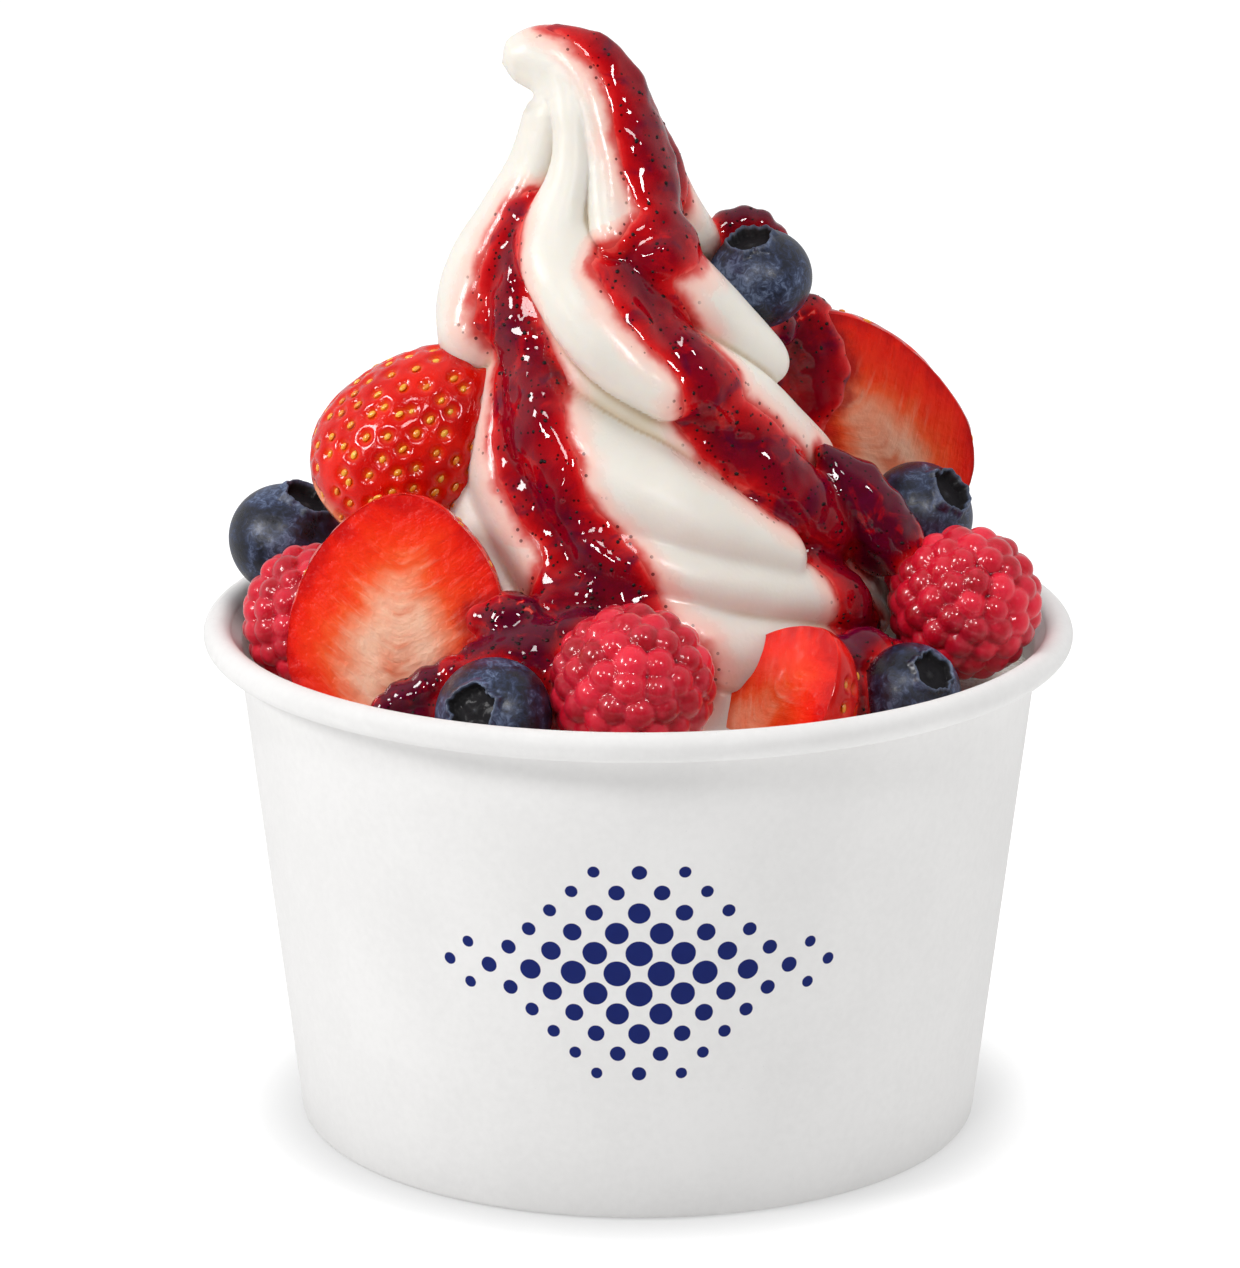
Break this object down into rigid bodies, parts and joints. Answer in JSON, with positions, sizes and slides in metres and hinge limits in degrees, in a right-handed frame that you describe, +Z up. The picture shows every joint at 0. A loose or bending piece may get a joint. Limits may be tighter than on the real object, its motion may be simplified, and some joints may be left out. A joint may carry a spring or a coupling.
{
  "type": "frozen yogurt cup",
  "caption": "Soft-serve frozen yogurt swirl with a hooked peak, berry sauce, cut strawberries, raspberries and blueberries, in a white paper cup with a rolled rim",
  "frame": {"origin": "centre of the underside of the cup, on the surface it stands on", "axes": "+Z up along the cup's axis, -Y towards the side shown first, the hooked peak leaning to -X"},
  "size_m": [0.0964, 0.0964, 0.1226],
  "materials": {
    "white_paper": "matt white coated paper",
    "base_paper": "matt white paper base",
    "navy_print": "matt navy printed dots",
    "frozen_yogurt": "smooth ivory soft-serve, slightly see-through at the surface",
    "berry_sauce": "wet glossy dark red sauce with fine seeds",
    "strawberry": "wet glossy red skin with seeds, and a paler cut face",
    "raspberry": "satin crimson drupelets",
    "blueberry": "dark blue skin with a dusty bloom"
  },
  "bodies": {
    "root": {"cup_side_wall": "white_paper", "cup_base": "base_paper", "frozen_yogurt": "frozen_yogurt", "strawberry_left_high": "strawberry", "strawberry_left_front": "strawberry", "strawberry_right_high": "strawberry", "strawberry_right_front": "strawberry", "strawberry_back_left": "strawberry", "strawberry_back_right": "strawberry", "raspberry_front": "raspberry", "raspberry_right": "raspberry", "raspberry_left": "raspberry", "raspberry_back": "raspberry", "raspberry_back_side": "raspberry", "blueberry_left": "blueberry", "blueberry_front_left": "blueberry", "blueberry_front_right": "blueberry", "blueberry_right": "blueberry", "blueberry_peak": "blueberry", "blueberry_back_left": "blueberry", "blueberry_back": "blueberry", "blueberry_back_right": "blueberry"}
  },
  "joints": []
}
